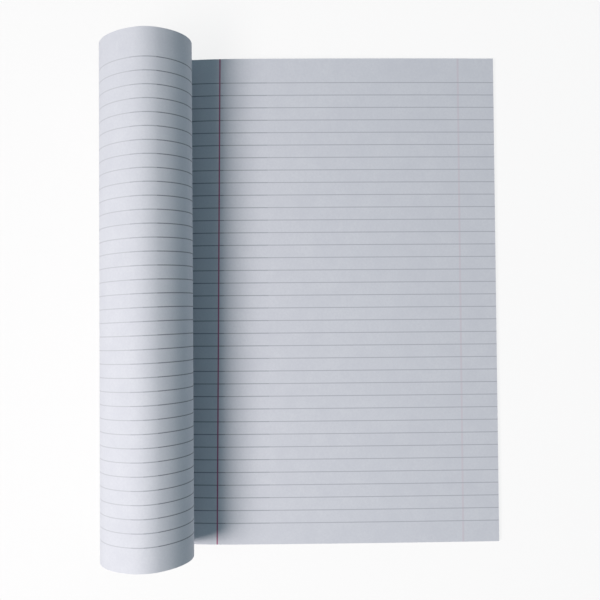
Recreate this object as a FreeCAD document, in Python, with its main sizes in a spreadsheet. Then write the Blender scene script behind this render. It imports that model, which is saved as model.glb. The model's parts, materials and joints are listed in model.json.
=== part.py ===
"""Open soft-cover ruled notebook, A4, with its left half rolled back into a tube over the spine.

Frame: millimetres, +Z up, the book lies on Z = 0.  +X runs across the flat right-hand page from the
fold to its fore-edge, +Y runs to the head of the page.  The origin is the middle of the back cover's
underside.  Inside every sketch X = 0 is the fold line, and each body's Placement moves it into place.
"""
import FreeCAD
import Part

import os
from math import asin, atan, atan2, cos, pi, radians, sin, sqrt, tan

import Sketcher

Vector = FreeCAD.Vector

# Driving dimensions: alias, value in mm (or as the comment says), meaning
SIZES = [
    ("page_width", 210.0, "fold to fore-edge of every leaf"),
    ("page_height", 297.0, "head to tail of every leaf"),
    ("leaf_thickness", 0.1, "one leaf of 70 g writing paper with its share of air"),
    ("leaf_count", 24, "leaves on each side of the opening"),
    ("card_thickness", 0.35, "cover card"),
    ("card_clearance", 0.15, "air between the cover card and the leaves"),
    ("fold_gap", 0.8, "height of the open valley at the middle fold"),
    ("roll_width", 53.0, "outside width of the rolled half"),
    ("roll_crest", 64.5, "height of the roll's crest above the table"),
    ("roll_offset", -0.2, "roll's middle, measured across from the fold"),
    ("crest_offset", 3.5, "roll's crest, measured across from the fold"),
    ("crest_radius", 17.0, "roll's radius over the crest"),
    ("left_drop", 35.0, "roll's widest place on the left, measured down from the crest"),
    ("right_height", 28.0, "roll's widest place on the right, above the table"),
    ("foot_radius", 13.0, "roll's radius at its two lower corners"),
    ("lap_clearance", 0.3, "air between the roll's free end and the turn it lies in"),
    ("roll_skew", 2.0, "degrees by which the roll's ends lean from square"),
    ("trim_room", 12.0, "spare length on the roll, taken off by the leaning cuts"),
    ("hump_rise", 2.9, "how far the flat half swells above its fold edge"),
    ("hump_place", 50.0, "crown of the swell, measured from the fold"),
    ("flat_run", 8.0, "flat strip of the right page beside the fold"),
    ("crease_gap", 0.5, "strip of the cover's crease left to bend, on the spine side"),
    ("hinge_gap", 0.15, "strip of the cover's crease left to bend, on the cover side"),
    ("wire_diameter", 0.55, "staple wire"),
    ("wire_clearance", 0.05, "air round the staple wire"),
    ("hole_clearance", 0.075, "air round a staple leg in its hole, on the radius"),
    ("staple_span", 12.0, "staple crown, leg to leg"),
    ("clinch_length", 4.6, "turned-in end of each staple leg"),
    ("bend_radius", 0.4, "staple's bends, at the wire's middle"),
    ("staple_spacing", 160.0, "distance between the two staples"),
]

doc = FreeCAD.newDocument("ruled_notebook")
sheet = doc.addObject("Spreadsheet::Sheet", "sizes")
for row, (alias, value, meaning) in enumerate(SIZES, start=1):
    sheet.set(f"A{row}", meaning)
    sheet.set(f"B{row}", str(value))
    sheet.setAlias(f"B{row}", alias)
doc.recompute()
size = {alias: float(sheet.get(alias)) for alias, _, _ in SIZES}

# Levels that follow from the driving dimensions: as expressions for the document, and as numbers for
# the first drawing of each outline.  A depth is measured inwards from the outside of the roll.
BLOCK = "sizes.leaf_thickness * sizes.leaf_count"
LEAVES_RADIUS = f"(sizes.fold_gap / 2 + {BLOCK})"
SPINE_INNER = f"({LEAVES_RADIUS} + sizes.card_clearance)"
SPINE_OUTER = f"({SPINE_INNER} + sizes.card_thickness)"
LINING_DEPTH = f"({BLOCK} + sizes.card_clearance)"
LAP_STEP = f"({LINING_DEPTH} + sizes.card_thickness + sizes.lap_clearance)"
FOLD_LEVEL = SPINE_OUTER
CREST_LEVEL = "(sizes.roll_crest - sizes.crest_radius)"
LEFT_HEIGHT = "(sizes.roll_crest - sizes.left_drop)"
RIGHT_HEIGHT = "sizes.right_height"
LEFT_REACH = "(sizes.roll_width / 2 - sizes.roll_offset + sizes.crest_offset)"
RIGHT_REACH = "(sizes.roll_width / 2 + sizes.roll_offset - sizes.crest_offset)"

block = size["leaf_thickness"] * size["leaf_count"]
leaves_radius = size["fold_gap"] / 2 + block
spine_inner = leaves_radius + size["card_clearance"]
spine_outer = spine_inner + size["card_thickness"]
lining_depth = block + size["card_clearance"]
lap_step = lining_depth + size["card_thickness"] + size["lap_clearance"]
fold_level = spine_outer
crest_level = size["roll_crest"] - size["crest_radius"]
left_height = size["roll_crest"] - size["left_drop"]
right_height = size["right_height"]
left_reach = size["roll_width"] / 2 - size["roll_offset"] + size["crest_offset"]
right_reach = size["roll_width"] / 2 + size["roll_offset"] - size["crest_offset"]


# ---------------------------------------------------------------- sketch helpers
START, END, CENTRE = 1, 2, 3          # Sketcher's numbers for the points of an edge
ORIGIN = (-1, START)                  # Sketcher's numbers for the sketch's own origin
X_AXIS, Y_AXIS = -1, -2


def new_body(label):
    body = doc.addObject("PartDesign::Body", label)
    body.Label = label
    body.setExpression("Placement.Base.x", "-sizes.page_width / 2")
    return body


def new_sketch(body, name, role):
    """A sketch on one of the body's own origin planes."""
    plane = next(f for f in body.Origin.OriginFeatures if f.Role == role)
    sketch = body.newObject("Sketcher::SketchObject", name)
    sketch.AttachmentSupport = (plane, [""])
    sketch.MapMode = "FlatFace"
    return sketch


def tie(sketch, kind, *where):
    """Adds a geometric constraint."""
    sketch.addConstraint(Sketcher.Constraint(kind, *where))


def dimension(sketch, kind, where, value, expression):
    """Adds a driving dimension and binds it to the sheet."""
    index = sketch.addConstraint(Sketcher.Constraint(kind, *where, value))
    sketch.setExpression(f"Constraints[{index}]", expression)


def place(sketch, axis, edge, point, value, expression):
    """Dimensions a point's X or Y from the sketch's origin, on whichever side of it the point is."""
    here = (edge, point)
    if value < 0:
        dimension(sketch, f"Distance{axis}", here + ORIGIN, -value, f"-({expression})")
    else:
        dimension(sketch, f"Distance{axis}", ORIGIN + here, value, expression)


def draw_line(sketch, first, last):
    return sketch.addGeometry(Part.LineSegment(first, last))


def draw_arc(sketch, centre, radius, first, last):
    return sketch.addGeometry(Part.ArcOfCircle(Part.Circle(centre, Vector(0, 0, 1), radius), first, last))


def draw_loop(sketch, corners):
    """Joined straight sides through the corners, tied level or upright where they are."""
    edges = [draw_line(sketch, a, b) for a, b in zip(corners, corners[1:] + corners[:1])]
    for edge, following, a, b in zip(edges, edges[1:] + edges[:1], corners, corners[1:] + corners[:1]):
        tie(sketch, "Coincident", edge, END, following, START)
        if a.y == b.y:
            tie(sketch, "Horizontal", edge)
        if a.x == b.x:
            tie(sketch, "Vertical", edge)
    return edges


def both_ways(body, feature_type, name, sketch, length):
    """A Pad or Pocket that reaches half its length to each side of the sketch."""
    feature = body.newObject(feature_type, name)
    feature.Profile = sketch
    feature.Midplane = True
    feature.setExpression("Length", length)
    doc.recompute()
    return feature


# ---------------------------------------------------------------- the roll's path
class Run:
    """A level straight stretch of the rolled path."""

    def __init__(self, start, span):
        self.start = start
        self.span = span

    def length(self, depth):
        return self.span

    def point(self, depth, share):
        """The point at a depth, after a share of the stretch from 0 to 1."""
        return self.start + Vector(self.span * share, depth, 0)

    def draw(self, sketch, depth, depth_expression, share):
        edge = draw_line(sketch, self.point(depth, 0), self.point(depth, share))
        tie(sketch, "Horizontal", edge)
        return edge


class Bend:
    """A round stretch of the rolled path, anticlockwise between two angles from +X."""

    def __init__(self, centre, radius, radius_expression, first, last, across="", above=""):
        self.centre = centre
        self.radius = radius
        self.radius_expression = radius_expression
        self.first = first
        self.last = last
        self.across = across          # expressions for the centre's X and Y, where they are given
        self.above = above

    def length(self, depth):
        return (self.radius - depth) * (self.last - self.first)

    def angle(self, share):
        return self.first + (self.last - self.first) * share

    def point(self, depth, share):
        outwards = Vector(cos(self.angle(share)), sin(self.angle(share)), 0)
        return self.centre + outwards * (self.radius - depth)

    def draw(self, sketch, depth, depth_expression, share):
        radius = self.radius - depth
        edge = draw_arc(sketch, self.centre, radius, self.first, self.angle(share))
        dimension(sketch, "Radius", (edge,), radius, f"{self.radius_expression} - {depth_expression}")
        if self.across:
            place(sketch, "X", edge, CENTRE, self.centre.x, self.across)
        if self.above:
            place(sketch, "Y", edge, CENTRE, self.centre.y, self.above)
        return edge


def side_radius(reach, height):
    """The radius of a side that is tangent to the crest and widest at a height, for its reach across
    from the crest's middle."""
    rise, crest = crest_level - height, size["crest_radius"]
    return (reach ** 2 + rise ** 2 - crest ** 2) / (2 * (reach - crest))


def side_radius_expression(reach, height):
    rise, crest = f"({CREST_LEVEL} - {height})", "sizes.crest_radius"
    return f"({reach} ^ 2 + {rise} ^ 2 - {crest} ^ 2) / (2 * ({reach} - {crest}))"


def rolled_path():
    """The stretches that the rolled half follows: out from the fold, up the right side, over the
    crest, down the left side, and inside along its own start again, as far as the crest."""
    foot, crest = size["foot_radius"], size["crest_radius"]
    left, right = side_radius(left_reach, left_height), side_radius(right_reach, right_height)
    base = fold_level + size["fold_gap"] / 2

    top = Vector(size["crest_offset"], crest_level, 0)
    side_right = Vector(top.x + right_reach - right, right_height, 0)
    side_left = Vector(top.x - left_reach + left, left_height, 0)
    foot_right = Vector(0, base + foot, 0)
    foot_right.x = side_right.x + sqrt((right - foot) ** 2 - (side_right.y - foot_right.y) ** 2)
    foot_left = Vector(0, base + lap_step + foot, 0)
    foot_left.x = side_left.x - sqrt((left - foot) ** 2 - (side_left.y - foot_left.y) ** 2)

    def bearing(origin, target):
        return atan2(target.y - origin.y, target.x - origin.x)

    low_right = bearing(side_right, foot_right)
    high_right = bearing(side_right, top)
    high_left = bearing(side_left, top)
    low_left = bearing(side_left, foot_left) % (2 * pi)

    first_turn = [
        Run(Vector(0, base, 0), foot_right.x),
        Bend(foot_right, foot, "sizes.foot_radius", -pi / 2, low_right),
        Bend(side_right, right, side_radius_expression(RIGHT_REACH, RIGHT_HEIGHT), low_right, high_right,
             above=RIGHT_HEIGHT),
        Bend(top, crest, "sizes.crest_radius", high_right, high_left,
             across="sizes.crest_offset", above=CREST_LEVEL),
        Bend(side_left, left, side_radius_expression(LEFT_REACH, LEFT_HEIGHT), high_left, low_left,
             above=LEFT_HEIGHT),
        Bend(foot_left, foot, "sizes.foot_radius", low_left, 3 * pi / 2),
        Run(Vector(foot_left.x, base + lap_step, 0), foot_right.x - foot_left.x),
    ]
    overlap = [
        Bend(outer.centre, outer.radius - lap_step, f"{outer.radius_expression} - {LAP_STEP}",
             outer.first, outer.last, across=outer.across, above=outer.above)
        for outer in first_turn[1:4]
    ]
    return first_turn + overlap


FIRST_RUN, LAP_RUN = 0, 6             # places of some stretches in the rolled path
SIDE_RADIUS = side_radius_expression(RIGHT_REACH, RIGHT_HEIGHT)
SIDE_CENTRE = f"sizes.crest_offset + {RIGHT_REACH} - {SIDE_RADIUS}"
LAP_CENTRES = {                       # places of the overlap's bends, with each one's middle from the fold
    7: f"{SIDE_CENTRE} + sqrt(({SIDE_RADIUS} - sizes.foot_radius) ^ 2 - "
       f"({RIGHT_HEIGHT} - {FOLD_LEVEL} - sizes.fold_gap / 2 - sizes.foot_radius) ^ 2)",
    8: SIDE_CENTRE,
}


def laid_out(path, depth):
    """The stretches that a leaf covers at a depth, each with the share of it that the leaf uses."""
    covered = []
    left = size["page_width"]
    for stretch in path:
        share = min(1.0, left / stretch.length(depth))
        covered.append((stretch, share))
        left -= stretch.length(depth) * share
        if left < 1e-6:
            break
    return covered


def draw_path(sketch, covered, depth, depth_expression):
    """Draws the covered stretches at a depth, tangent to each other, and returns their edges."""
    edges = []
    for stretch, share in covered:
        edge = stretch.draw(sketch, depth, depth_expression, share)
        if edges:
            tie(sketch, "Tangent", edges[-1], END, edge, START)
        edges.append(edge)

    base = f"({FOLD_LEVEL} + sizes.fold_gap / 2 + {depth_expression})"
    first_run = covered[FIRST_RUN][0]
    tie(sketch, "PointOnObject", edges[FIRST_RUN], START, Y_AXIS)
    place(sketch, "Y", edges[FIRST_RUN], START, first_run.point(depth, 0).y, base)
    if len(edges) > LAP_RUN:
        lap_run = covered[LAP_RUN][0]
        place(sketch, "Y", edges[LAP_RUN], START, lap_run.point(depth, 0).y, f"{base} + {LAP_STEP}")
    last = len(edges) - 1
    if last in LAP_CENTRES:
        place(sketch, "X", edges[last], CENTRE, covered[last][0].centre.x, LAP_CENTRES[last])
    return edges


SLANT_STEPS = 6                       # facets along the slanted free end of the rolled leaves


def end_point(covered, depth):
    """Where the covered stretches end, at a depth."""
    stretch, share = covered[-1]
    return stretch.point(depth, share)


def close_at_fold(sketch, outside, inside, first, last):
    """Joins the starts of the inside and outside paths with an upright line at the fold."""
    closing = draw_line(sketch, first, last)
    tie(sketch, "Coincident", closing, START, inside[0], START)
    tie(sketch, "Coincident", closing, END, outside[0], START)


def rolled_leaves_outline(body):
    """The rolled leaves' section.  Each leaf ends where its own length runs out, so the free end is a
    long slant down to the innermost leaf, whose own end is square."""
    sketch = new_sketch(body, "rolled_half", "XZ_Plane")
    path = rolled_path()
    inner_leaf = block - size["leaf_thickness"]
    innermost = laid_out(path, inner_leaf)
    outside = draw_path(sketch, laid_out(path, 0), 0, "0")
    inside = draw_path(sketch, innermost, block, BLOCK)
    close_at_fold(sketch, outside, inside, path[0].point(block, 0), path[0].point(0, 0))

    depths = [inner_leaf * step / SLANT_STEPS for step in range(SLANT_STEPS + 1)]
    corners = [end_point(laid_out(path, depth), depth) for depth in depths]
    corners.append(end_point(innermost, block))
    before = outside[-1]
    for first, last in zip(corners, corners[1:]):
        facet = draw_line(sketch, first, last)
        tie(sketch, "Coincident", before, END, facet, START)
        before = facet
    tie(sketch, "Coincident", before, END, inside[-1], END)
    return sketch


def lining_outline(body):
    """The rolled cover card's section, one sheet with a square end."""
    sketch = new_sketch(body, "lining", "XZ_Plane")
    path = rolled_path()
    inner_depth = lining_depth + size["card_thickness"]
    inner_expression = f"({LINING_DEPTH} + sizes.card_thickness)"
    covered = laid_out(path, lining_depth + size["card_thickness"] / 2)
    outside = draw_path(sketch, covered, lining_depth, LINING_DEPTH)
    inside = draw_path(sketch, covered, inner_depth, inner_expression)
    close_at_fold(sketch, outside, inside, path[0].point(inner_depth, 0), path[0].point(lining_depth, 0))

    card_end = draw_line(sketch, end_point(covered, lining_depth), end_point(covered, inner_depth))
    tie(sketch, "Coincident", card_end, START, outside[-1], END)
    tie(sketch, "Coincident", card_end, END, inside[-1], END)
    return sketch


def trim_rolled_ends(body):
    """Cuts the roll's two ends along planes that lean by the roll's skew through the fold's ends."""
    reach = size["roll_width"]
    half = size["page_height"] / 2
    shift = reach * tan(radians(size["roll_skew"]))
    shift_expression = "sizes.roll_width * tan(sizes.roll_skew * 1 deg)"
    for name, side in (("head_trim", 1), ("tail_trim", -1)):
        sketch = new_sketch(body, name, "XY_Plane")
        beyond = side * (half + size["trim_room"])
        edges = draw_loop(sketch, [
            Vector(-reach, side * half - shift, 0),
            Vector(reach, side * half + shift, 0),
            Vector(reach, beyond, 0),
            Vector(-reach, beyond, 0),
        ])
        fold_end = f"{side} * sizes.page_height / 2"
        place(sketch, "X", edges[0], START, -reach, "-sizes.roll_width")
        place(sketch, "Y", edges[0], START, side * half - shift, f"{fold_end} - {shift_expression}")
        place(sketch, "X", edges[0], END, reach, "sizes.roll_width")
        place(sketch, "Y", edges[0], END, side * half + shift, f"{fold_end} + {shift_expression}")
        place(sketch, "Y", edges[2], START, beyond, f"{fold_end} + {side} * sizes.trim_room")
        both_ways(body, "PartDesign::Pocket", name + "_cut", sketch, "sizes.roll_crest * 4")


def leg_holes(body, reach_expression):
    """The holes that the staple legs go through, across the fold."""
    sketch = new_sketch(body, "leg_holes", "YZ_Plane")
    radius = size["wire_diameter"] / 2 + size["hole_clearance"]
    for staple_side in (1, -1):
        for leg_side in (1, -1):
            along = staple_side * size["staple_spacing"] / 2 + leg_side * size["staple_span"] / 2
            hole = sketch.addGeometry(Part.Circle(Vector(along, fold_level, 0), Vector(0, 0, 1), radius))
            place(sketch, "X", hole, CENTRE, along,
                  f"{staple_side} * sizes.staple_spacing / 2 + {leg_side} * sizes.staple_span / 2")
            place(sketch, "Y", hole, CENTRE, fold_level, FOLD_LEVEL)
            dimension(sketch, "Radius", (hole,), radius, "sizes.wire_diameter / 2 + sizes.hole_clearance")
    pocket = body.newObject("PartDesign::Pocket", "leg_holes_cut")
    pocket.Profile = sketch
    pocket.setExpression("Length", reach_expression)
    doc.recompute()
    return pocket


# ---------------------------------------------------------------- sub-parts
def flat_half_outline(body):
    """The flat leaves' section with the folded spine: flat below, a low swell above, and the open
    valley of the middle fold on the left.  The swell is a hollow bend beside the fold, a crown bend
    of twice its radius, and a gentle fall to the fore-edge."""
    sketch = new_sketch(body, "flat_half", "XZ_Plane")
    foot = size["card_thickness"] + size["card_clearance"]
    surface = foot + block
    valley = size["fold_gap"] / 2
    far, run, crown_x, rise = size["page_width"], size["flat_run"], size["hump_place"], size["hump_rise"]
    slope = 2 * atan(rise / (crown_x - run))
    hollow_radius = (crown_x - run) / (3 * sin(slope))
    crown_radius = 2 * hollow_radius
    fall_radius = (rise ** 2 + (far - crown_x) ** 2) / (2 * rise)
    fall_angle = asin((far - crown_x) / fall_radius)
    crown_z = surface + rise
    up = pi / 2

    bottom = draw_line(sketch, Vector(0, foot, 0), Vector(far, foot, 0))
    fore_edge = draw_line(sketch, Vector(far, foot, 0), Vector(far, surface, 0))
    fall = draw_arc(sketch, Vector(crown_x, crown_z - fall_radius, 0), fall_radius, up - fall_angle, up)
    crown = draw_arc(sketch, Vector(crown_x, crown_z - crown_radius, 0), crown_radius, up, up + slope)
    hollow = draw_arc(sketch, Vector(run, surface + hollow_radius, 0), hollow_radius, -up, -up + slope)
    beside_fold = draw_line(sketch, Vector(run, surface, 0), Vector(0, surface, 0))
    root = draw_arc(sketch, Vector(0, fold_level, 0), valley, up, 3 * up)
    mouth = draw_line(sketch, Vector(0, fold_level + valley, 0), Vector(0, fold_level + leaves_radius, 0))
    spine = draw_arc(sketch, Vector(0, fold_level, 0), leaves_radius, up, 3 * up)

    tie(sketch, "Coincident", bottom, END, fore_edge, START)
    tie(sketch, "Coincident", fore_edge, END, fall, START)
    tie(sketch, "Tangent", fall, END, crown, START)
    tie(sketch, "Tangent", crown, END, hollow, END)
    tie(sketch, "Tangent", hollow, START, beside_fold, START)
    tie(sketch, "Coincident", beside_fold, END, root, END)
    tie(sketch, "Coincident", root, START, mouth, START)
    tie(sketch, "Coincident", mouth, END, spine, START)
    tie(sketch, "Coincident", spine, END, bottom, START)
    tie(sketch, "Coincident", root, CENTRE, spine, CENTRE)
    tie(sketch, "Horizontal", bottom)
    tie(sketch, "Horizontal", beside_fold)
    tie(sketch, "Vertical", fore_edge)
    tie(sketch, "Vertical", mouth)
    tie(sketch, "PointOnObject", spine, CENTRE, Y_AXIS)
    tie(sketch, "PointOnObject", bottom, START, Y_AXIS)
    tie(sketch, "PointOnObject", beside_fold, END, Y_AXIS)
    place(sketch, "Y", spine, CENTRE, fold_level, FOLD_LEVEL)
    place(sketch, "X", bottom, END, far, "sizes.page_width")
    place(sketch, "X", beside_fold, START, run, "sizes.flat_run")
    place(sketch, "X", crown, START, crown_x, "sizes.hump_place")
    place(sketch, "X", crown, CENTRE, crown_x, "sizes.hump_place")
    dimension(sketch, "Radius", (root,), valley, "sizes.fold_gap / 2")
    dimension(sketch, "Radius", (spine,), leaves_radius, LEAVES_RADIUS)
    dimension(sketch, "DistanceY", (fore_edge, START, fore_edge, END), block, BLOCK)
    dimension(sketch, "DistanceY", (beside_fold, START, crown, START), rise, "sizes.hump_rise")
    across = "(sizes.hump_place - sizes.flat_run)"
    dimension(sketch, "Radius", (hollow,), hollow_radius,
              f"{across} / (3 * sin(2 * atan(sizes.hump_rise / {across})))")
    return sketch


def pages():
    """All the leaves as one piece: the flat half, the fold at the spine and the rolled half."""
    body = new_body("pages")
    rolled = rolled_leaves_outline(body)
    both_ways(body, "PartDesign::Pad", "rolled_leaves", rolled, "sizes.page_height + sizes.trim_room")
    trim_rolled_ends(body)
    flat = flat_half_outline(body)
    both_ways(body, "PartDesign::Pad", "flat_leaves", flat, "sizes.page_height")
    body.Tip = leg_holes(body, f"{LEAVES_RADIUS} * 2")
    return body


def front_cover():
    """The front half of the cover card, wrapped round the spine and lining the roll."""
    body = new_body("front_cover")
    lining = lining_outline(body)
    both_ways(body, "PartDesign::Pad", "rolled_card", lining, "sizes.page_height + sizes.trim_room")
    trim_rolled_ends(body)

    sketch = new_sketch(body, "spine_wrap", "XZ_Plane")
    middle = Vector(0, fold_level, 0)
    stop = 3 * pi / 2 - asin(size["crease_gap"] / spine_outer)
    outside = draw_arc(sketch, middle, spine_outer, pi / 2, stop)
    inside = draw_arc(sketch, middle, spine_inner, pi / 2, stop)
    outwards = Vector(cos(stop), sin(stop), 0)
    crease = draw_line(sketch, middle + outwards * spine_outer, middle + outwards * spine_inner)
    top = draw_line(sketch, middle + Vector(0, spine_inner, 0), middle + Vector(0, spine_outer, 0))
    tie(sketch, "Coincident", outside, CENTRE, inside, CENTRE)
    tie(sketch, "Coincident", crease, START, outside, END)
    tie(sketch, "Coincident", crease, END, inside, END)
    tie(sketch, "Coincident", top, START, inside, START)
    tie(sketch, "Coincident", top, END, outside, START)
    tie(sketch, "PointOnObject", outside, CENTRE, Y_AXIS)
    tie(sketch, "PointOnObject", outside, START, Y_AXIS)
    tie(sketch, "PointOnObject", inside, START, Y_AXIS)
    tie(sketch, "PointOnObject", outside, CENTRE, crease)
    place(sketch, "Y", outside, CENTRE, fold_level, FOLD_LEVEL)
    place(sketch, "X", outside, END, -size["crease_gap"], "-sizes.crease_gap")
    dimension(sketch, "Radius", (outside,), spine_outer, SPINE_OUTER)
    dimension(sketch, "Radius", (inside,), spine_inner, SPINE_INNER)
    both_ways(body, "PartDesign::Pad", "spine_card", sketch, "sizes.page_height")
    body.Tip = leg_holes(body, f"{SPINE_OUTER} * 2")
    return body


def back_cover():
    """The back half of the cover card, flat on the table under the leaves."""
    body = new_body("back_cover")
    sketch = new_sketch(body, "card", "XZ_Plane")
    near, far, thick = size["hinge_gap"], size["page_width"], size["card_thickness"]
    edges = draw_loop(sketch, [
        Vector(near, 0, 0), Vector(far, 0, 0), Vector(far, thick, 0), Vector(near, thick, 0),
    ])
    tie(sketch, "PointOnObject", edges[0], START, X_AXIS)
    place(sketch, "X", edges[0], START, near, "sizes.hinge_gap")
    place(sketch, "X", edges[0], END, far, "sizes.page_width")
    dimension(sketch, "DistanceY", (edges[1], START, edges[1], END), thick, "sizes.card_thickness")
    both_ways(body, "PartDesign::Pad", "back_card", sketch, "sizes.page_height")
    return body


def staple(label, side):
    """A wire staple: crown along the outside of the spine, legs through the fold, ends turned in
    towards each other inside the valley."""
    body = new_body(label)
    wire_radius = size["wire_diameter"] / 2
    crown_x = -(spine_outer + size["wire_clearance"] + wire_radius)
    crown_expression = f"-({SPINE_OUTER} + sizes.wire_clearance + sizes.wire_diameter / 2)"
    clinch_x = -(size["fold_gap"] / 2 - size["wire_clearance"] - wire_radius)
    clinch_expression = "-(sizes.fold_gap / 2 - sizes.wire_clearance - sizes.wire_diameter / 2)"
    middle = side * size["staple_spacing"] / 2
    middle_expression = f"{side} * sizes.staple_spacing / 2"
    half, turned, bend = size["staple_span"] / 2, size["clinch_length"], size["bend_radius"]

    path = new_sketch(body, "wire_path", "XY_Plane")
    path.setExpression("AttachmentOffset.Base.z", FOLD_LEVEL)
    corners = [
        Vector(clinch_x, middle + half - turned, 0), Vector(clinch_x, middle + half, 0),
        Vector(crown_x, middle + half, 0), Vector(crown_x, middle - half, 0),
        Vector(clinch_x, middle - half, 0), Vector(clinch_x, middle - half + turned, 0),
    ]
    steps = [(b - a).normalize() * bend for a, b in zip(corners, corners[1:])]
    last_side = len(steps) - 1
    sides = []
    for number, step in enumerate(steps):
        start = corners[number] + (step if number > 0 else Vector())
        stop = corners[number + 1] - (step if number < last_side else Vector())
        sides.append(draw_line(path, start, stop))
        tie(path, "Vertical" if step.x == 0 else "Horizontal", sides[-1])
    for number in range(last_side):
        before, after = steps[number], steps[number + 1]
        elbow = corners[number + 1] - before + after
        turns_left = before.x * after.y > before.y * after.x
        begin, stop = atan2(-after.y, -after.x), atan2(before.y, before.x)
        near_end, far_end = START, END
        if not turns_left:
            begin, stop = stop, begin
            near_end, far_end = END, START
        arc = draw_arc(path, elbow, bend, begin, stop)
        tie(path, "Tangent", sides[number], END, arc, near_end)
        tie(path, "Tangent", arc, far_end, sides[number + 1], START)
        dimension(path, "Radius", (arc,), bend, "sizes.bend_radius")

    head_clinch, head_leg, crown, tail_leg, tail_clinch = sides
    place(path, "X", crown, START, crown_x, crown_expression)
    for clinch, leg, end, tip in ((head_clinch, head_leg, 1, START), (tail_clinch, tail_leg, -1, END)):
        place(path, "X", clinch, tip, clinch_x, clinch_expression)
        place(path, "Y", leg, START, middle + end * half,
              f"{middle_expression} + {end} * sizes.staple_span / 2")
        place(path, "Y", clinch, tip, middle + end * (half - turned),
              f"{middle_expression} + {end} * (sizes.staple_span / 2 - sizes.clinch_length)")

    section = new_sketch(body, "wire_section", "XZ_Plane")
    section.setExpression("AttachmentOffset.Base.z",
                          f"-({middle_expression} + sizes.staple_span / 2 - sizes.clinch_length)")
    wire = section.addGeometry(Part.Circle(Vector(clinch_x, fold_level, 0), Vector(0, 0, 1), wire_radius))
    place(section, "X", wire, CENTRE, clinch_x, clinch_expression)
    place(section, "Y", wire, CENTRE, fold_level, FOLD_LEVEL)
    dimension(section, "Radius", (wire,), wire_radius, "sizes.wire_diameter / 2")
    doc.recompute()
    pipe = body.newObject("PartDesign::AdditivePipe", "wire")
    pipe.Profile = section
    pipe.Spine = (path, [f"Edge{i + 1}" for i in range(path.GeometryCount)])
    doc.recompute()
    return body


def write_out(sub_parts):
    """Refuses a failed feature or solid, then writes one STEP file for each sub-part."""
    doc.recompute()
    for item in doc.Objects:
        if "Invalid" in item.State or "Error" in item.State:
            raise RuntimeError(f"{item.Label} did not build: {item.State}")
    os.makedirs("parts", exist_ok=True)
    for body in sub_parts:
        shape = body.Shape
        if shape.isNull() or not shape.isValid() or len(shape.Solids) != 1:
            raise RuntimeError(f"{body.Label} is not one valid solid")
        shape.exportStep(f"parts/{body.Label}.step")
        box = shape.BoundBox
        print(f"{body.Label}: {shape.Volume:.1f} mm3, "
              f"X {box.XMin:.2f}..{box.XMax:.2f}, Y {box.YMin:.2f}..{box.YMax:.2f}, "
              f"Z {box.ZMin:.2f}..{box.ZMax:.2f}")


write_out([pages(), front_cover(), back_cover(), staple("upper_staple", 1), staple("lower_staple", -1)])
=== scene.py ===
"""Ruled exercise book, open, with its left half rolled back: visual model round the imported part."""

import json
import math
import random
from collections import namedtuple

import bmesh
import bpy
from bpy.props import FloatProperty, FloatVectorProperty, IntProperty, PointerProperty
from mathutils import Euler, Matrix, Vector


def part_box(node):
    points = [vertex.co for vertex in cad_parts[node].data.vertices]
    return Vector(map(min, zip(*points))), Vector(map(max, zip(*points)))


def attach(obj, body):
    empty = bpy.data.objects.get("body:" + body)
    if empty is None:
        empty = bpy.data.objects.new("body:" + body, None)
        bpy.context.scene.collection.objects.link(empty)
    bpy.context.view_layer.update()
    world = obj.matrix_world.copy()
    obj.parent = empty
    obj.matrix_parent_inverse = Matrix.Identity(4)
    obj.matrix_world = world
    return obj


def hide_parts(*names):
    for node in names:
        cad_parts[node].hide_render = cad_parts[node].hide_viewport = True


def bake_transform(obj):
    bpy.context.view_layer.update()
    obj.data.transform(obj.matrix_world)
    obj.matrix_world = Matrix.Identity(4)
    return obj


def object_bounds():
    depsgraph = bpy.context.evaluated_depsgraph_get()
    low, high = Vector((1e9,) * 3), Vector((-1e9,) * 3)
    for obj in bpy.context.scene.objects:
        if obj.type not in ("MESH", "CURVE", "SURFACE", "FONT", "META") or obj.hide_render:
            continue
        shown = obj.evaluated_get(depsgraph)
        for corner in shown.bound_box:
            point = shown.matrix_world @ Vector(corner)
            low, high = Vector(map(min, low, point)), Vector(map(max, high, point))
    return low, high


bl_info = {
    "name": "Ruled exercise book",
    "version": (1, 0, 0),
    "blender": (4, 5, 0),
    "location": "View3D > Sidebar > Exercise book",
    "description": "Builds the leaves, cover card, staples and stage of an open ruled exercise book",
    "category": "Object",
}

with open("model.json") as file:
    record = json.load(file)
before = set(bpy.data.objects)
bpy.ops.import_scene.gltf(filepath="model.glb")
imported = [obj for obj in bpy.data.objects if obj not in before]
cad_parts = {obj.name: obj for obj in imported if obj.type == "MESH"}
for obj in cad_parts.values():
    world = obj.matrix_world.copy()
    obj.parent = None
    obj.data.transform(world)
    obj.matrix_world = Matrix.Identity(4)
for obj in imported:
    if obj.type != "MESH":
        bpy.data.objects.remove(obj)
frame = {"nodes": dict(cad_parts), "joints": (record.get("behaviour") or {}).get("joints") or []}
CAD_LOW, CAD_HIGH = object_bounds()

MM = 0.001
HINGE = frame["joints"][0]
FOLD_X = HINGE["pos_m"][0]
PAGES_LOW, PAGES_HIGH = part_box("pages")
CARD_LOW, CARD_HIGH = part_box("back_cover")

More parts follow.
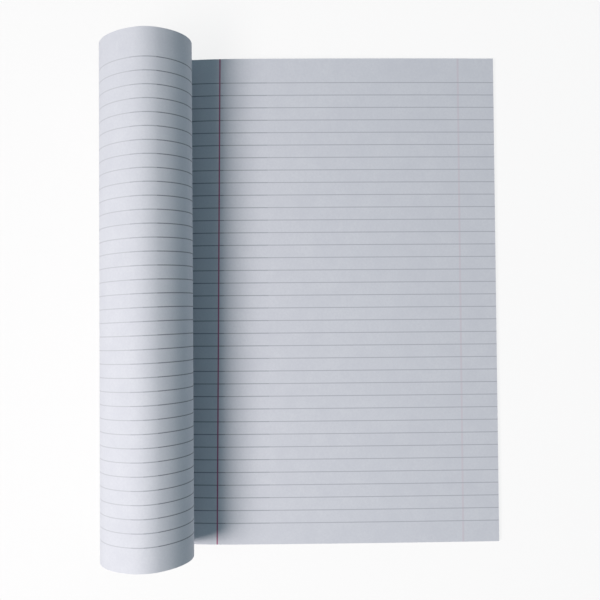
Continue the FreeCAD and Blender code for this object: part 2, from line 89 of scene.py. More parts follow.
# Finer choices than a user would change.
CREASE_START = 0.5 * MM  # the crease's first bend, on the spine's side of the fold
CREASE_STEPS = 8
SPINE_STEPS = 16  # round the card's spine
FOLD_STEPS = 10  # round each leaf's fold
BEND_STEP = math.radians(4)  # along the roll's tight bends
SIDE_STEP = math.radians(2.5)  # along its long sides
UNEVEN_ENDS = 0.12 * MM  # how much shorter a lower leaf may be at head and tail
UNEVEN_EDGES = 0.2 * MM  # and at the fore-edge
SOFT_EDGE = math.radians(40)  # edges sharper than this stay crisp
FLOOR_REACH = 3.0
FLOOR_GAP = 0.02 * MM
FLOOR_PASSES = 0.85  # share of a seen ray that the floor lets through
LAMP_AIM = (-0.02, 0.0, 0.02)
LAMP_SHADE = (1.0, 0.91, 0.885)
SKY_SHADE = (0.61, 0.87, 1.0)


def linear_from_hex(code):
    """The linear colour of an sRGB hex value."""
    parts = [int(code[i : i + 2], 16) / 255 for i in (1, 3, 5)]
    return [p / 12.92 if p <= 0.04045 else ((p + 0.055) / 1.055) ** 2.4 for p in parts]


def length(name, text, default):
    """A size in metres that the sidebar shows as a length."""
    return FloatProperty(
        name=name, description=text, default=default, min=0.0, unit="LENGTH", precision=5
    )


def colour(name, text, code):
    """A colour, given as sRGB hex and kept as linear values."""
    return FloatVectorProperty(
        name=name,
        description=text,
        default=linear_from_hex(code),
        size=3,
        min=0.0,
        max=1.0,
        subtype="COLOR",
    )


class BookSizes(bpy.types.PropertyGroup):
    """Sizes of the leaves, the fold and the roll."""

    page_width: length(
        "Page width", "One page, from the fold to the fore-edge", CARD_HIGH.x - FOLD_X
    )
    page_height: length("Page height", "Head to tail", CARD_HIGH.y - CARD_LOW.y)
    sheets: IntProperty(
        name="Sheets", description="Folded double sheets", default=24, min=1, max=60
    )
    sheet_pitch: length("Sheet pitch", "Paper and the air over it", 0.1 * MM)
    paper_thickness: length("Paper thickness", "One sheet of paper", 0.08 * MM)
    card_thickness: length(
        "Card thickness", "The cover card", CARD_HIGH.z - CARD_LOW.z
    )
    card_clearance: length("Card clearance", "Between leaves and card", 0.15 * MM)
    fold_gap: length("Fold gap", "Between the two halves at the fold", 0.8 * MM)
    lap_clearance: length("Lap clearance", "Between one turn and the next", 0.3 * MM)
    crest_height: length("Crest height", "Top of the roll", PAGES_HIGH.z)
    roll_width: length("Roll width", "Outside width of the rolled half", 54 * MM)
    crest_offset: length("Crest offset", "Fold to the roll's crest", 3.5 * MM)
    crest_radius: length("Crest radius", "Bend over the top of the roll", 17 * MM)
    foot_radius: length("Foot radius", "Bends at the bottom of the roll", 13 * MM)
    left_drop: length("Left drop", "Crest down to the widest place, left", 35 * MM)
    right_height: length("Right height", "Height of the widest place, right", 35 * MM)
    hump_height: length("Hump height", "How far the flat leaves lift", 2.9 * MM)
    hump_place: length("Hump place", "Fold to the top of the lift", 50 * MM)
    flat_run: length("Flat run", "Flat strip beside the fold", 8 * MM)
    roll_skew: FloatProperty(
        name="Roll skew",
        description="Turn of the roll's ends from square to the fold",
        default=math.radians(2.0),
        unit="ROTATION",
    )


class Ruling(bpy.types.PropertyGroup):
    """Places and widths of the printed lines."""

    rules: IntProperty(
        name="Rules", description="Ruled lines on a page", default=36, min=2, max=80
    )
    head_room: length("Head room", "Head to the first rule", 15.0 * MM)
    tail_room: length("Tail room", "Last rule to the tail", 12.8 * MM)
    roll_head_room: length("Head room, roll", "The same on the roll", 16.5 * MM)
    roll_tail_room: length("Tail room, roll", "The same on the roll", 13.9 * MM)
    rule_width: length("Rule width", "Width of a ruled line", 0.55 * MM)
    margin: length("Margin", "Fold to the red margin line", 39.56 * MM)
    margin_width: length("Margin width", "Width of the margin line", 0.85 * MM)
    margin_lean: FloatProperty(
        name="Margin lean",
        description="Turn of the margin line away from the fold, towards the head",
        default=math.radians(0.65),
        unit="ROTATION",
    )
    back_margin: length(
        "Margin on the backs", "Fold to the margin line on the backs of the leaves", 187.96 * MM
    )
    back_margin_width: length("Seen-through width", "Width it shows through at", 1.2 * MM)


class BookColours(bpy.types.PropertyGroup):
    """Colours of the paper, the inks, the card and the wire."""

    paper: colour("Paper", "Writing paper", "#cfd3da")
    paper_cloud: colour("Paper cloud", "Thinner places in the paper", "#c9cdd5")
    rule_ink: colour("Rule ink", "Ruled lines on the page", "#aeb2ba")
    # Rule inks with painted shade and light: the same ink is darker in the roll's shadow and on its shaded
    # side, a step lighter in the half shade, and lighter on the roll's lit left.
    rule_ink_full: colour("Full rule ink", "Ruled lines near the fold", "#868b93")
    rule_ink_half: colour("Half rule ink", "Between the full and the page's", "#a0a5ad")
    rule_ink_faint: colour("Faint rule ink", "Ruled lines on the roll's left", "#b9bdc4")
    margin_ink: colour("Margin ink", "Margin line", "#a2607f")
    seen_through: colour("Seen through", "Margin line of the other side", "#cac8d0")
    card: colour("Card", "Cover card", "#c3c8cc")
    card_fibre: colour("Card fibre", "Darker fibres in the card", "#b4babf")
    wire: colour("Wire", "Steel of the staples", "#b9bbbd")


class StageSettings(bpy.types.PropertyGroup):
    """Camera, lamps and floor."""

    camera_place: FloatVectorProperty(
        name="Camera place",
        description="Where the camera stands",
        default=(-0.01698, -0.01207, 0.51933),
        subtype="TRANSLATION",
    )
    camera_turn: FloatVectorProperty(
        name="Camera turn",
        description="Turn of the camera from looking straight down",
        default=(0.02308, -0.00242, -0.00783),
        subtype="EULER",
    )
    lens: FloatProperty(
        name="Lens", description="Focal length in mm", default=50.4, min=1.0
    )
    window_place: FloatVectorProperty(
        name="Window place",
        description="Where the main lamp hangs",
        default=(-1.35, -0.38, 2.19),
        subtype="TRANSLATION",
    )
    window_light: FloatProperty(
        name="Window light", description="Watts of the main lamp", default=39.5
    )
    near_place: FloatVectorProperty(
        name="Near place",
        description="Where the small lamp towards the tail hangs",
        default=(-0.44, -0.23, 0.66),
        subtype="TRANSLATION",
    )
    near_light: FloatProperty(
        name="Near light", description="Watts of the small lamp towards the tail", default=2.6
    )
    sky_light: FloatProperty(
        name="Sky light", description="Strength of the world", default=0.24
    )


def node(tree, kind, settings=None, inputs=None):
    """Adds one node with its settings, and its inputs as values or as sockets to link from."""
    made = tree.nodes.new(kind)
    for name, value in (settings or {}).items():
        setattr(made, name, value)
    for name, value in (inputs or {}).items():
        if isinstance(value, bpy.types.NodeSocket):
            tree.links.new(value, made.inputs[name])
        else:
            made.inputs[name].default_value = value
    return made


def new_material(name):
    """An empty material with a principled shader, and its tree and shader."""
    material = bpy.data.materials.new(name)
    material.use_nodes = True
    tree = material.node_tree
    return material, tree, tree.nodes["Principled BSDF"]


def writing_paper(colours):
    """Uncoated woodfree paper, machine-made: a matt pale sheet that clouds very slightly."""
    material, tree, shader = new_material("writing_paper")
    place = node(tree, "ShaderNodeTexCoord")
    # Clouding of the pulp, about 12 mm across, and felt marks 1.2 mm across: real ones are
    # 0.3 mm and too fine to show, so they are drawn four times as coarse.
    cloud = node(
        tree, "ShaderNodeTexNoise", None,
        {"Vector": place.outputs["Object"], "Scale": 1 / (12 * MM), "Detail": 3.0, "Roughness": 0.6},
    )
    felt = node(
        tree, "ShaderNodeTexNoise", None,
        {"Vector": place.outputs["Object"], "Scale": 1 / (1.2 * MM), "Detail": 2.0},
    )
    both = node(
        tree, "ShaderNodeMath", {"operation": "MULTIPLY"},
        {0: cloud.outputs["Fac"], 1: felt.outputs["Fac"]},
    )
    ramp = node(
        tree, "ShaderNodeMapRange", None,
        {"Value": both.outputs[0], "From Min": 0.12, "From Max": 0.4},
    )
    mix = node(
        tree, "ShaderNodeMix", {"data_type": "RGBA"},
        {"Factor": ramp.outputs[0], "A": (*colours.paper_cloud, 1), "B": (*colours.paper, 1)},
    )
    tree.links.new(mix.outputs["Result"], shader.inputs["Base Color"])
    bump = node(
        tree, "ShaderNodeBump", None,
        {"Strength": 0.08, "Distance": 0.05 * MM, "Height": felt.outputs["Fac"]},
    )
    tree.links.new(bump.outputs[0], shader.inputs["Normal"])
    shader.inputs["Roughness"].default_value = 0.85
    shader.inputs["IOR"].default_value = 1.45
    return material


def printed_ink(name, shade):
    """Thin flexographic ink sunk into uncoated paper: matt, and as even as the paper lets it be. The darker
    and lighter rule inks are copies of one ink with painted shade and light.
    """
    material, _, shader = new_material(name)
    shader.inputs["Base Color"].default_value = (*shade, 1)
    shader.inputs["Roughness"].default_value = 0.8
    shader.inputs["IOR"].default_value = 1.45
    return material


def cover_card(colours):
    """Uncoated pulp board, rolled: matt, with short darker fibres and a slight tooth."""
    if "pulp_board" in bpy.data.materials:
        return bpy.data.materials["pulp_board"]
    material, tree, shader = new_material("pulp_board")
    place = node(tree, "ShaderNodeTexCoord")
    # Fibres about 2 mm long and 0.5 mm wide, drawn out along the roll; real ones are a fifth
    # of that and would not show.
    spread = node(
        tree, "ShaderNodeMapping", None,
        {"Vector": place.outputs["Object"], "Scale": (1 / (0.5 * MM), 1 / (2 * MM), 1 / (0.5 * MM))},
    )
    fibre = node(
        tree, "ShaderNodeTexNoise", None,
        {"Vector": spread.outputs[0], "Scale": 1.0, "Detail": 3.0, "Roughness": 0.65},
    )
    ramp = node(
        tree, "ShaderNodeMapRange", None,
        {"Value": fibre.outputs["Fac"], "From Min": 0.3, "From Max": 0.6},
    )
    mix = node(
        tree, "ShaderNodeMix", {"data_type": "RGBA"},
        {"Factor": ramp.outputs[0], "A": (*colours.card_fibre, 1), "B": (*colours.card, 1)},
    )
    tree.links.new(mix.outputs["Result"], shader.inputs["Base Color"])
    bump = node(
        tree, "ShaderNodeBump", None,
        {"Strength": 0.15, "Distance": 0.05 * MM, "Height": fibre.outputs["Fac"]},
    )
    tree.links.new(bump.outputs[0], shader.inputs["Normal"])
    shader.inputs["Roughness"].default_value = 0.7
    shader.inputs["IOR"].default_value = 1.47
    return material


def staple_wire(colours):
    """Galvanised steel wire, drawn: a soft metal shine with marks along the wire."""
    material, tree, shader = new_material("drawn_steel_wire")
    place = node(tree, "ShaderNodeTexCoord")
    # Die marks 0.1 mm apart round the wire and drawn out ten times as long.
    spread = node(
        tree, "ShaderNodeMapping", None,
        {"Vector": place.outputs["Object"], "Scale": (1 / (0.1 * MM), 1 / MM, 1 / (0.1 * MM))},
    )
    marks = node(
        tree, "ShaderNodeTexNoise", None,
        {"Vector": spread.outputs[0], "Scale": 1.0, "Detail": 2.0},
    )
    rough = node(
        tree, "ShaderNodeMapRange", None,
        {"Value": marks.outputs["Fac"], "To Min": 0.22, "To Max": 0.42},
    )
    tree.links.new(rough.outputs[0], shader.inputs["Roughness"])
    shader.inputs["Base Color"].default_value = (*colours.wire, 1)
    shader.inputs["Metallic"].default_value = 1.0
    return material


class RollShape:
    """The path that a leaf follows from the fold round the roll, at any depth in the block."""

    def __init__(self, sizes):
        block = sizes.sheets * sizes.sheet_pitch
        self.block = block
        self.page = sizes.page_width
        spine_inner = sizes.fold_gap / 2 + block + sizes.card_clearance
        self.fold_level = spine_inner + sizes.card_thickness
        self.nose_radius = sizes.fold_gap / 2
        self.flat_top = self.fold_level - self.nose_radius
        self.lap = block + sizes.card_clearance + sizes.card_thickness + sizes.lap_clearance
        base = self.fold_level + self.nose_radius
        self.base = base
        # The roll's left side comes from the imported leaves.
        left_wall = PAGES_LOW.x - FOLD_X
        self.crest_x = sizes.crest_offset
        crest_z = sizes.crest_height - sizes.crest_radius
        left_z = sizes.crest_height - sizes.left_drop
        right_z = sizes.right_height
        right_wall = left_wall + sizes.roll_width
        left_reach = self.crest_x - left_wall
        right_reach = right_wall - self.crest_x
        left_radius = self.side_radius(left_reach, crest_z - left_z, sizes.crest_radius)
        right_radius = self.side_radius(right_reach, crest_z - right_z, sizes.crest_radius)
        crest = Vector((self.crest_x, crest_z))
        left = Vector((left_wall + left_radius, left_z))
        right = Vector((right_wall - right_radius, right_z))
        foot = sizes.foot_radius
        right_foot = Vector((0, base + foot))
        right_foot.x = right.x + math.sqrt((right_radius - foot) ** 2 - (right.y - right_foot.y) ** 2)
        left_foot = Vector((0, base + self.lap + foot))
        left_foot.x = left.x - math.sqrt((left_radius - foot) ** 2 - (left.y - left_foot.y) ** 2)
        a1 = self.bearing(right, right_foot)
        a2 = self.bearing(right, crest)
        a3 = self.bearing(left, crest)
        a4 = self.bearing(left, left_foot) % (2 * math.pi)
        down = -math.pi / 2
        self.widest = min(left_z, right_z)
        # Length of the leaf from the fold to the roll's widest place on the right.
        self.shoulder = right_foot.x + foot * (a1 - down) - right_radius * a1
        r = sizes.crest_radius
        self.runs = [
            ("line", Vector((0, base)), Vector((right_foot.x, base)), 0),
            ("arc", right_foot, foot, down, a1, BEND_STEP, 0),
            ("arc", right, right_radius, a1, a2, SIDE_STEP, 0),
            ("arc", crest, r, a2, a3, BEND_STEP, 0),
            ("arc", left, left_radius, a3, a4, SIDE_STEP, 0),
            ("arc", left_foot, foot, a4, 1.5 * math.pi, BEND_STEP, 0),
            ("line", Vector((left_foot.x, base)), Vector((right_foot.x, base)), self.lap),
            ("arc", right_foot, foot, down, a1, BEND_STEP, self.lap),
            ("arc", right, right_radius, a1, a2, SIDE_STEP, self.lap),
            ("arc", crest, r, a2, a3, BEND_STEP, self.lap),
        ]

    @staticmethod
    def side_radius(reach, rise, crest_radius):
        """Radius of the side that is tangent to the crest bend and reaches that far out."""
        return (reach**2 + rise**2 - crest_radius**2) / (2 * (reach - crest_radius))

    @staticmethod
    def bearing(start, end):
        return math.atan2(end.y - start.y, end.x - start.x)

    def run_points(self, run, depth):
        """Points (x, z) along one run at a depth in from the outside of its turn."""
        if run[0] == "line":
            lift = Vector((0, run[3] + depth))
            return [run[1] + lift, run[2] + lift]
        _, centre, radius, start, end, step, turn = run
        count = max(2, math.ceil(abs(end - start) / step))
        inner = radius - turn - depth
        points = []
        for i in range(count + 1):
            a = start + (end - start) * i / count
            points.append(centre + inner * Vector((math.cos(a), math.sin(a))))
        return points

    def round_fold(self, bearing, *reaches):
        """Points round the fold's middle in one direction, at each reach from it."""
        way = Vector((math.cos(bearing), math.sin(bearing)))
        return [Vector((0, self.fold_level)) + way * reach for reach in reaches]

    def rolled(self, depth):
        """All the points from the fold to past the leaf's end."""
        points = []
        for run in self.runs:
            fresh = self.run_points(run, depth)
            points += fresh[1:] if points else fresh
        return points

    def stations(self, depth_out, depth_in):
        """Pairs of points on the two faces of a leaf, ended where its middle is a page long."""
        outside, inside = self.rolled(depth_out), self.rolled(depth_in)
        pairs, walked = [(outside[0], inside[0], 0.0)], 0.0
        for i in range(1, len(outside)):
            before = (outside[i - 1] + inside[i - 1]) / 2
            after = (outside[i] + inside[i]) / 2
            hop = (after - before).length
            if walked + hop >= self.page:
                share = (self.page - walked) / hop
                pairs.append(
                    (
                        outside[i - 1].lerp(outside[i], share),
                        inside[i - 1].lerp(inside[i], share),
                        self.page,
                    )
                )
                break
            walked += hop
            pairs.append((outside[i], inside[i], walked))
        return pairs


def lift_at(sizes, x):
    """Height of the flat leaves' top over their level at the fold."""
    run = sizes.hump_place - sizes.flat_run
    slope = 2 * math.atan(sizes.hump_height / run)
    hollow = run / (3 * math.sin(slope))
    turn = sizes.flat_run + hollow * math.sin(slope)
    if x <= sizes.flat_run:
        return 0.0
    if x <= turn:
        return hollow - math.sqrt(hollow**2 - (x - sizes.flat_run) ** 2)
    if x <= sizes.hump_place:
        crown = 2 * hollow
        return sizes.hump_height - crown + math.sqrt(crown**2 - (x - sizes.hump_place) ** 2)
    far = sizes.page_width - sizes.hump_place
    fall = (sizes.hump_height**2 + far**2) / (2 * sizes.hump_height)
    return sizes.hump_height - fall + math.sqrt(max(0.0, fall**2 - (x - sizes.hump_place) ** 2))


def flat_places(sizes, ruling):
    """Distances from the fold of the flat half's points, with a pair at each margin line's edges."""
    places = [0, 3, 6, 8, 11, 14, 17, 20, 23, 26, 30, 34, 37, 43, 46, 50, 54, 58, 63, 70, 78, 86]
    places += [95, 105, 115, 125, 135, 145, 155, 165, 175, 182, 192, 200, 206]
    places = [p * MM for p in places]
    for centre, width in (
        (ruling.margin, ruling.margin_width),
        (ruling.back_margin, ruling.back_margin_width),
    ):
        places += [centre - width / 2, centre + width / 2]
    return sorted(p for p in places if p < sizes.page_width - 2 * MM)


INKS = ("margin_ink", "seen_through", "rule_ink", "rule_ink_half", "rule_ink_full", "rule_ink_faint")
MARGIN, THROUGH, PAGE, PAINTED_HALF_SHADE, PAINTED_SHADE, PAINTED_LIGHT = range(1, 7)
# Painted shade and light on the rules: how far from the fold the darker inks reach on the page, through the
# roll's cast shadow and half shade, and down to which place across the roll's top they reach on its shaded
# right side; past them the roll's lit left gets a lighter ink.
PAGE_SHADE_INKS = ((44 * MM, PAINTED_SHADE), (72 * MM, PAINTED_HALF_SHADE))
ROLL_SHADE_INKS = ((12 * MM, PAINTED_SHADE), (4.5 * MM, PAINTED_HALF_SHADE), (-3 * MM, PAGE))

# A place on a leaf's way: points on its two faces, its share of the roll's skew, how far it is from
# the fold along the leaf, and whether it is on the rolled half.
Place = namedtuple("Place", "upper under skew walked rolled")


def ink_and_painted_shade_at(shape, place, walked):
    """Which rule ink a place carries, with painted shade and light: the rules are darkest in the roll's cast
    shadow by the fold and on the roll's shaded side, and lightest on its lit left.
    """
    if not place.rolled:
        return next((ink for reach, ink in PAGE_SHADE_INKS if walked < reach), PAGE)
    if walked < shape.shoulder:
        return PAINTED_SHADE
    if place.upper.y < shape.widest:
        return PAGE
    return next((ink for reach, ink in ROLL_SHADE_INKS if place.upper.x > reach), PAINTED_LIGHT)


def build_leaf(bm, sizes, ruling, shape, index, rng):
    """One folded double sheet as a thin closed strip; the top one carries the printed lines."""
    depth_out = index * sizes.sheet_pitch + (sizes.sheet_pitch - sizes.paper_thickness) / 2
    depth_in = depth_out + sizes.paper_thickness
    fade = 1 - (index + 0.5) / sizes.sheets if index else 1.0
    half = sizes.page_height / 2 - (rng.uniform(0, UNEVEN_ENDS) if index else 0.0)
    short = rng.uniform(0, UNEVEN_EDGES) if index else 0.0
    path = []
    places = [*flat_places(sizes, ruling), sizes.page_width - short]
    for x in reversed(places):
        rise = lift_at(sizes, x) * fade
        level = shape.flat_top + rise
        path.append(Place(Vector((x, level - depth_out)), Vector((x, level - depth_in)), 0.0, x, False))
    for i in range(1, FOLD_STEPS):
        share = i / FOLD_STEPS
        upper, under = shape.round_fold(
            -math.pi / 2 - math.pi * share, shape.nose_radius + depth_out, shape.nose_radius + depth_in
        )
        path.append(Place(upper, under, share, 0.0, False))
    for upper, under, walked in shape.stations(depth_out, depth_in):
        path.append(Place(upper, under, 1.0, walked, True))

    # Lines across the leaf from tail to head, as their places on the page and on the roll: plain
    # strips and, on the top leaf, the rules.
    levels, inked = [(-half, -half)], []
    if index == 0:
        edge = sizes.page_height / 2
        for i in range(ruling.rules):
            up = i / (ruling.rules - 1)
            page = (1 - up) * (ruling.tail_room - edge) + up * (edge - ruling.head_room)
            roll = (1 - up) * (ruling.roll_tail_room - edge) + up * (edge - ruling.roll_head_room)
            inked.append(len(levels))
            levels += [(page + side, roll + side) for side in (-ruling.rule_width / 2, ruling.rule_width / 2)]
    levels.append((half, half))

    lean = math.tan(sizes.roll_skew)

    def corner(point, level, skew, drift=0.0, turn=0.0):
        y = level[0] + (level[1] - level[0]) * drift
        x, z = point.x + turn * y, point.y
        if turn:
            z += lift_at(sizes, x) - lift_at(sizes, point.x)
        return bm.verts.new((FOLD_X + x, y + lean * x * skew, z))

    def drift_at(place):
        """The rules drift from their places on the page to those on the roll before its right side."""
        share = min(1.0, place.walked / shape.shoulder) if place.rolled else 0.0
        return share * share * (3 - 2 * share)

    def turn_at(place):
        """The margin line's own edges lean a little; nothing else on the leaf does."""
        near = not place.rolled and abs(place.walked - ruling.margin) < ruling.margin_width
        return math.tan(ruling.margin_lean) if near and index == 0 else 0.0

    upper_rows = [
        [corner(p.upper, level, p.skew, drift_at(p), turn_at(p)) for level in levels] for p in path
    ]
    under_rows = [[corner(p.under, level, p.skew) for level in (levels[0], levels[-1])] for p in path]
    for i in range(len(path) - 1):
        a, b = upper_rows[i], upper_rows[i + 1]
        c, d = under_rows[i], under_rows[i + 1]
        here, there = path[i], path[i + 1]
        middle = (here.walked + there.walked) / 2
        flat = not here.rolled and not there.rolled and middle > 0
        # The rule ink chosen here carries painted shade and light, by where the place lies in the roll's
        # shadow or light.
        rule_ink = ink_and_painted_shade_at(shape, here, middle)
        for j in range(len(levels) - 1):
            face = bm.faces.new((a[j], a[j + 1], b[j + 1], b[j]))
            if index:
                continue
            if flat and abs(middle - ruling.margin) < ruling.margin_width / 2:
                face.material_index = MARGIN
            elif j in inked:
                face.material_index = rule_ink
            elif flat and abs(middle - ruling.back_margin) < ruling.back_margin_width / 2:
                face.material_index = THROUGH
        bm.faces.new((c[1], c[0], d[0], d[1]))
        bm.faces.new((a[0], b[0], d[0], c[0]))
        bm.faces.new((b[-1], a[-1], c[1], d[1]))
    for k, flip in ((0, False), (-1, True)):
        ring = [*upper_rows[k], under_rows[k][1], under_rows[k][0]]
        bm.faces.new(ring[::-1] if not flip else ring)


def finish_mesh(name, bm, materials, smooth=True):
    """Turns a bmesh into an object with its materials and soft shading."""
    bmesh.ops.recalc_face_normals(bm, faces=bm.faces)
    mesh = bpy.data.meshes.new(name)
    bm.to_mesh(mesh)
    bm.free()
    for material in materials:
        mesh.materials.append(material)
    if smooth:
        mesh.shade_smooth()
        mesh.set_sharp_from_angle(angle=SOFT_EDGE)
    made = bpy.data.objects.new(name, mesh)
    bpy.context.collection.objects.link(made)
    return made


def ringed_solid(name, rings, material):
    """A closed solid through a row of four-cornered rings."""
    bm = bmesh.new()
    corners = [[bm.verts.new(point) for point in ring] for ring in rings]
    for a, b in zip(corners, corners[1:]):
        for j in range(4):
            bm.faces.new((a[j], a[(j + 1) % 4], b[(j + 1) % 4], b[j]))
    bm.faces.new(corners[0])
    bm.faces.new(corners[-1][::-1])
    return finish_mesh(name, bm, [material])


class NOTEBOOK_OT_leaves(bpy.types.Operator):
    """Make the folded sheets, flat on the right and rolled on the left, with their printed lines"""

    bl_idname = "notebook.leaves"
    bl_label = "Leaves"

    def execute(self, context):
        scene = context.scene
        sizes, ruling, colours = scene.book_sizes, scene.book_ruling, scene.book_colours
        shape = RollShape(sizes)
        rng = random.Random(7)
        bm = bmesh.new()
        for index in range(sizes.sheets):
            build_leaf(bm, sizes, ruling, shape, index, rng)
        inks = [printed_ink(name, getattr(colours, name)) for name in INKS]
        leaves = finish_mesh("leaves", bm, [writing_paper(colours), *inks])
        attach(leaves, "book")
        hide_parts("pages")
        return {"FINISHED"}


class NOTEBOOK_OT_front_cover(bpy.types.Operator):
    """Make the front half of the cover card, wrapped round the spine and lining the roll"""

    bl_idname = "notebook.front_cover"
    bl_label = "Front cover"

    def execute(self, context):
        scene = context.scene
        sizes = scene.book_sizes
        shape = RollShape(sizes)
        outer, inner = shape.fold_level, shape.fold_level - sizes.card_thickness
        first, last = -math.pi / 2 - math.asin(CREASE_START / outer), -1.5 * math.pi
        path = []  # (point on the leaves' side, point on the other side, skew share)
        for i in range(SPINE_STEPS):
            share = i / SPINE_STEPS
            path.append((*shape.round_fold(first + (last - first) * share, inner, outer), share))
        lining = shape.block + sizes.card_clearance
        for near, far, _ in shape.stations(lining, lining + sizes.card_thickness):
            path.append((near, far, 1.0))

        lean = math.tan(sizes.roll_skew)
        half = sizes.page_height / 2
        rings = [
            [
                (FOLD_X + p.x, side * half + lean * p.x * skew, p.y)
                for p, side in ((near, -1), (near, 1), (far, 1), (far, -1))
            ]
            for near, far, skew in path
        ]
        card = ringed_solid("card_lining", rings, cover_card(scene.book_colours))
        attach(card, "book")
        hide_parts("front_cover")
        return {"FINISHED"}


class NOTEBOOK_OT_cover(bpy.types.Operator):
    """Finish the back of the cover card and close its crease"""

    bl_idname = "notebook.cover"
    bl_label = "Cover card"

    def execute(self, context):
        scene = context.scene
        sizes = scene.book_sizes
        card = cover_card(scene.book_colours)
        dress(frame["nodes"]["back_cover"], card)
        outer = RollShape(sizes).fold_level
        inner = outer - sizes.card_thickness
        start, end = -CREASE_START, CARD_LOW.x - FOLD_X
        rings = []
        for i in range(CREASE_STEPS + 1):
            x = start + (end - start) * i / CREASE_STEPS
            low, high = (outer - math.sqrt(r**2 - min(x, 0.0) ** 2) for r in (outer, inner))
            rings.append(
                [
                    (FOLD_X + x, y, z)
                    for y, z in (
                        (CARD_LOW.y, low),
                        (CARD_LOW.y, high),
                        (CARD_HIGH.y, high),
                        (CARD_HIGH.y, low),
                    )
                ]
            )
        crease = ringed_solid("cover_crease", rings, card)
        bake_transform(crease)
        return {"FINISHED"}


def dress(piece, material):
    """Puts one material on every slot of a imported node."""
    if not piece.data.materials:
        piece.data.materials.append(material)
    for slot in piece.material_slots:
        slot.material = material


class NOTEBOOK_OT_staples(bpy.types.Operator):
    """Finish the two wire staples"""

    bl_idname = "notebook.staples"
    bl_label = "Staples"

    def execute(self, context):
        wire = staple_wire(context.scene.book_colours)
        for name in ("upper_staple", "lower_staple"):
            dress(frame["nodes"][name], wire)
            frame["nodes"][name].data.shade_smooth()
        return {"FINISHED"}


def aimed_lamp(name, place, watts, width):
    """A square lamp that looks at the book."""
    data = bpy.data.lights.new(name, "AREA")
    data.shape = "SQUARE"
    data.size = width
    data.energy = watts
    data.color = LAMP_SHADE
    lamp = bpy.data.objects.new(name, data)
    lamp.location = place
    lamp.rotation_euler = (Vector(LAMP_AIM) - Vector(place)).to_track_quat("-Z", "Y").to_euler()
    bpy.context.collection.objects.link(lamp)


class NOTEBOOK_OT_stage(bpy.types.Operator):
    """Set the pale floor, the lamps and the camera"""

    bl_idname = "notebook.stage"
    bl_label = "Stage"

    def execute(self, context):
        scene = context.scene
        stage = scene.book_stage
        bm = bmesh.new()
        bmesh.ops.create_grid(bm, x_segments=4, y_segments=4, size=FLOOR_REACH)
        floor = finish_mesh("floor", bm, [floor_paint()], smooth=False)
        floor.location.z = CAD_LOW.z - FLOOR_GAP

        camera_data = bpy.data.cameras.new("camera")
        camera_data.lens = stage.lens
        camera_data.sensor_width = 36.0
        camera_data.clip_start = 0.01
        camera = bpy.data.objects.new("camera", camera_data)
        camera.location = stage.camera_place
        camera.rotation_euler = Euler(stage.camera_turn)
        context.collection.objects.link(camera)
        scene.camera = camera

        aimed_lamp("window", stage.window_place, stage.window_light, 1.15)
        aimed_lamp("near", stage.near_place, stage.near_light, 0.25)
        scene.world = sky(stage)
        scene.view_settings.view_transform = "Standard"
        return {"FINISHED"}


def seen_ray(tree):
    """1 for a ray that shows the background: straight from the camera, mirrored or through glass."""
    path = node(tree, "ShaderNodeLightPath")
    total = path.outputs["Is Camera Ray"]
    for name in ("Is Glossy Ray", "Is Transmission Ray"):
        total = node(
            tree, "ShaderNodeMath", {"operation": "MAXIMUM"}, {0: total, 1: path.outputs[name]}
        ).outputs[0]
    return total


def floor_paint():
    """Matt white paint on a pane: a plain pale floor that keeps the object's soft shadow.

    A ray that shows the background passes most of it, so that it is near white and a cover that
    swings down below the floor's level can still be seen.
    """
    material, tree, shader = new_material("white_floor_paint")
    shader.inputs["Base Color"].default_value = (0.8, 0.8, 0.8, 1)
    shader.inputs["Roughness"].default_value = 0.9
    pane = node(tree, "ShaderNodeBsdfTransparent", None, {"Color": (1, 1, 1, 1)})
    share = node(
        tree, "ShaderNodeMath", {"operation": "MULTIPLY"}, {0: seen_ray(tree), 1: FLOOR_PASSES}
    )
    mixed = node(
        tree, "ShaderNodeMixShader", None,
        {0: share.outputs[0], 1: shader.outputs[0], 2: pane.outputs[0]},
    )
    tree.links.new(mixed.outputs[0], tree.nodes["Material Output"].inputs["Surface"])
    return material


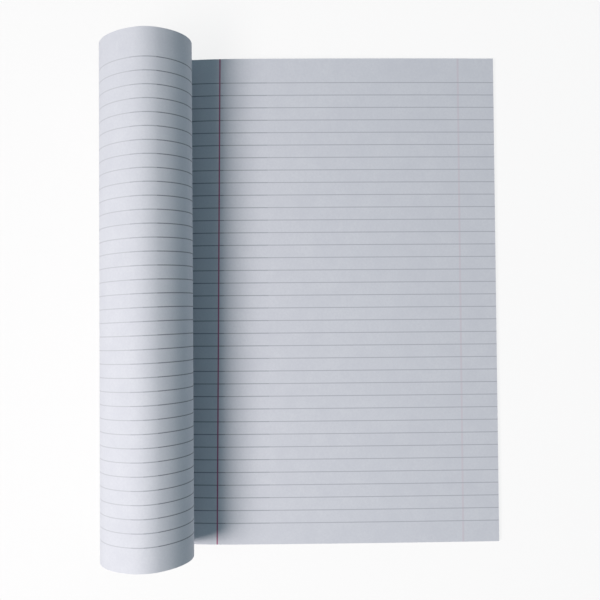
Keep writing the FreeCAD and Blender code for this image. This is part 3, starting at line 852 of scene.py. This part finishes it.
def sky(stage):
    """A cool, even sky, shown as plain white where nothing stands in front of it."""
    world = bpy.data.worlds.new("sky")
    world.use_nodes = True
    tree = world.node_tree
    light = tree.nodes["Background"]
    light.inputs["Color"].default_value = (*SKY_SHADE, 1)
    light.inputs["Strength"].default_value = stage.sky_light
    white = node(tree, "ShaderNodeBackground", None, {"Color": (1, 1, 1, 1), "Strength": 1.0})
    mixed = node(
        tree, "ShaderNodeMixShader", None,
        {0: seen_ray(tree), 1: light.outputs[0], 2: white.outputs[0]},
    )
    tree.links.new(mixed.outputs[0], tree.nodes["World Output"].inputs["Surface"])
    return world


PIECES = (
    NOTEBOOK_OT_leaves,
    NOTEBOOK_OT_front_cover,
    NOTEBOOK_OT_cover,
    NOTEBOOK_OT_staples,
    NOTEBOOK_OT_stage,
)
SETTINGS = {
    "book_sizes": BookSizes,
    "book_ruling": Ruling,
    "book_colours": BookColours,
    "book_stage": StageSettings,
}


class NOTEBOOK_PT_panel(bpy.types.Panel):
    """Buttons that build the exercise book, and the sizes and colours they use"""

    bl_idname = "NOTEBOOK_PT_panel"
    bl_label = "Exercise book"
    bl_space_type = "VIEW_3D"
    bl_region_type = "UI"
    bl_category = "Exercise book"

    def draw(self, context):
        column = self.layout.column()
        for piece in PIECES:
            column.operator(piece.bl_idname)
        for group in SETTINGS:
            settings = getattr(context.scene, group)
            box = self.layout.box()
            for name in settings.bl_rna.properties.keys():
                if name not in ("rna_type", "name"):
                    box.prop(settings, name)


def register():
    for group in SETTINGS.values():
        bpy.utils.register_class(group)
    for name, group in SETTINGS.items():
        setattr(bpy.types.Scene, name, PointerProperty(type=group))
    for made in (*PIECES, NOTEBOOK_PT_panel):
        bpy.utils.register_class(made)


def unregister():
    for made in (*reversed(PIECES), NOTEBOOK_PT_panel):
        bpy.utils.unregister_class(made)
    for name, group in SETTINGS.items():
        delattr(bpy.types.Scene, name)
        bpy.utils.unregister_class(group)


def main():
    register()
    bpy.ops.notebook.leaves()
    bpy.ops.notebook.front_cover()
    bpy.ops.notebook.cover()
    bpy.ops.notebook.staples()
    bpy.ops.notebook.stage()


if __name__ == "__main__":
    main()
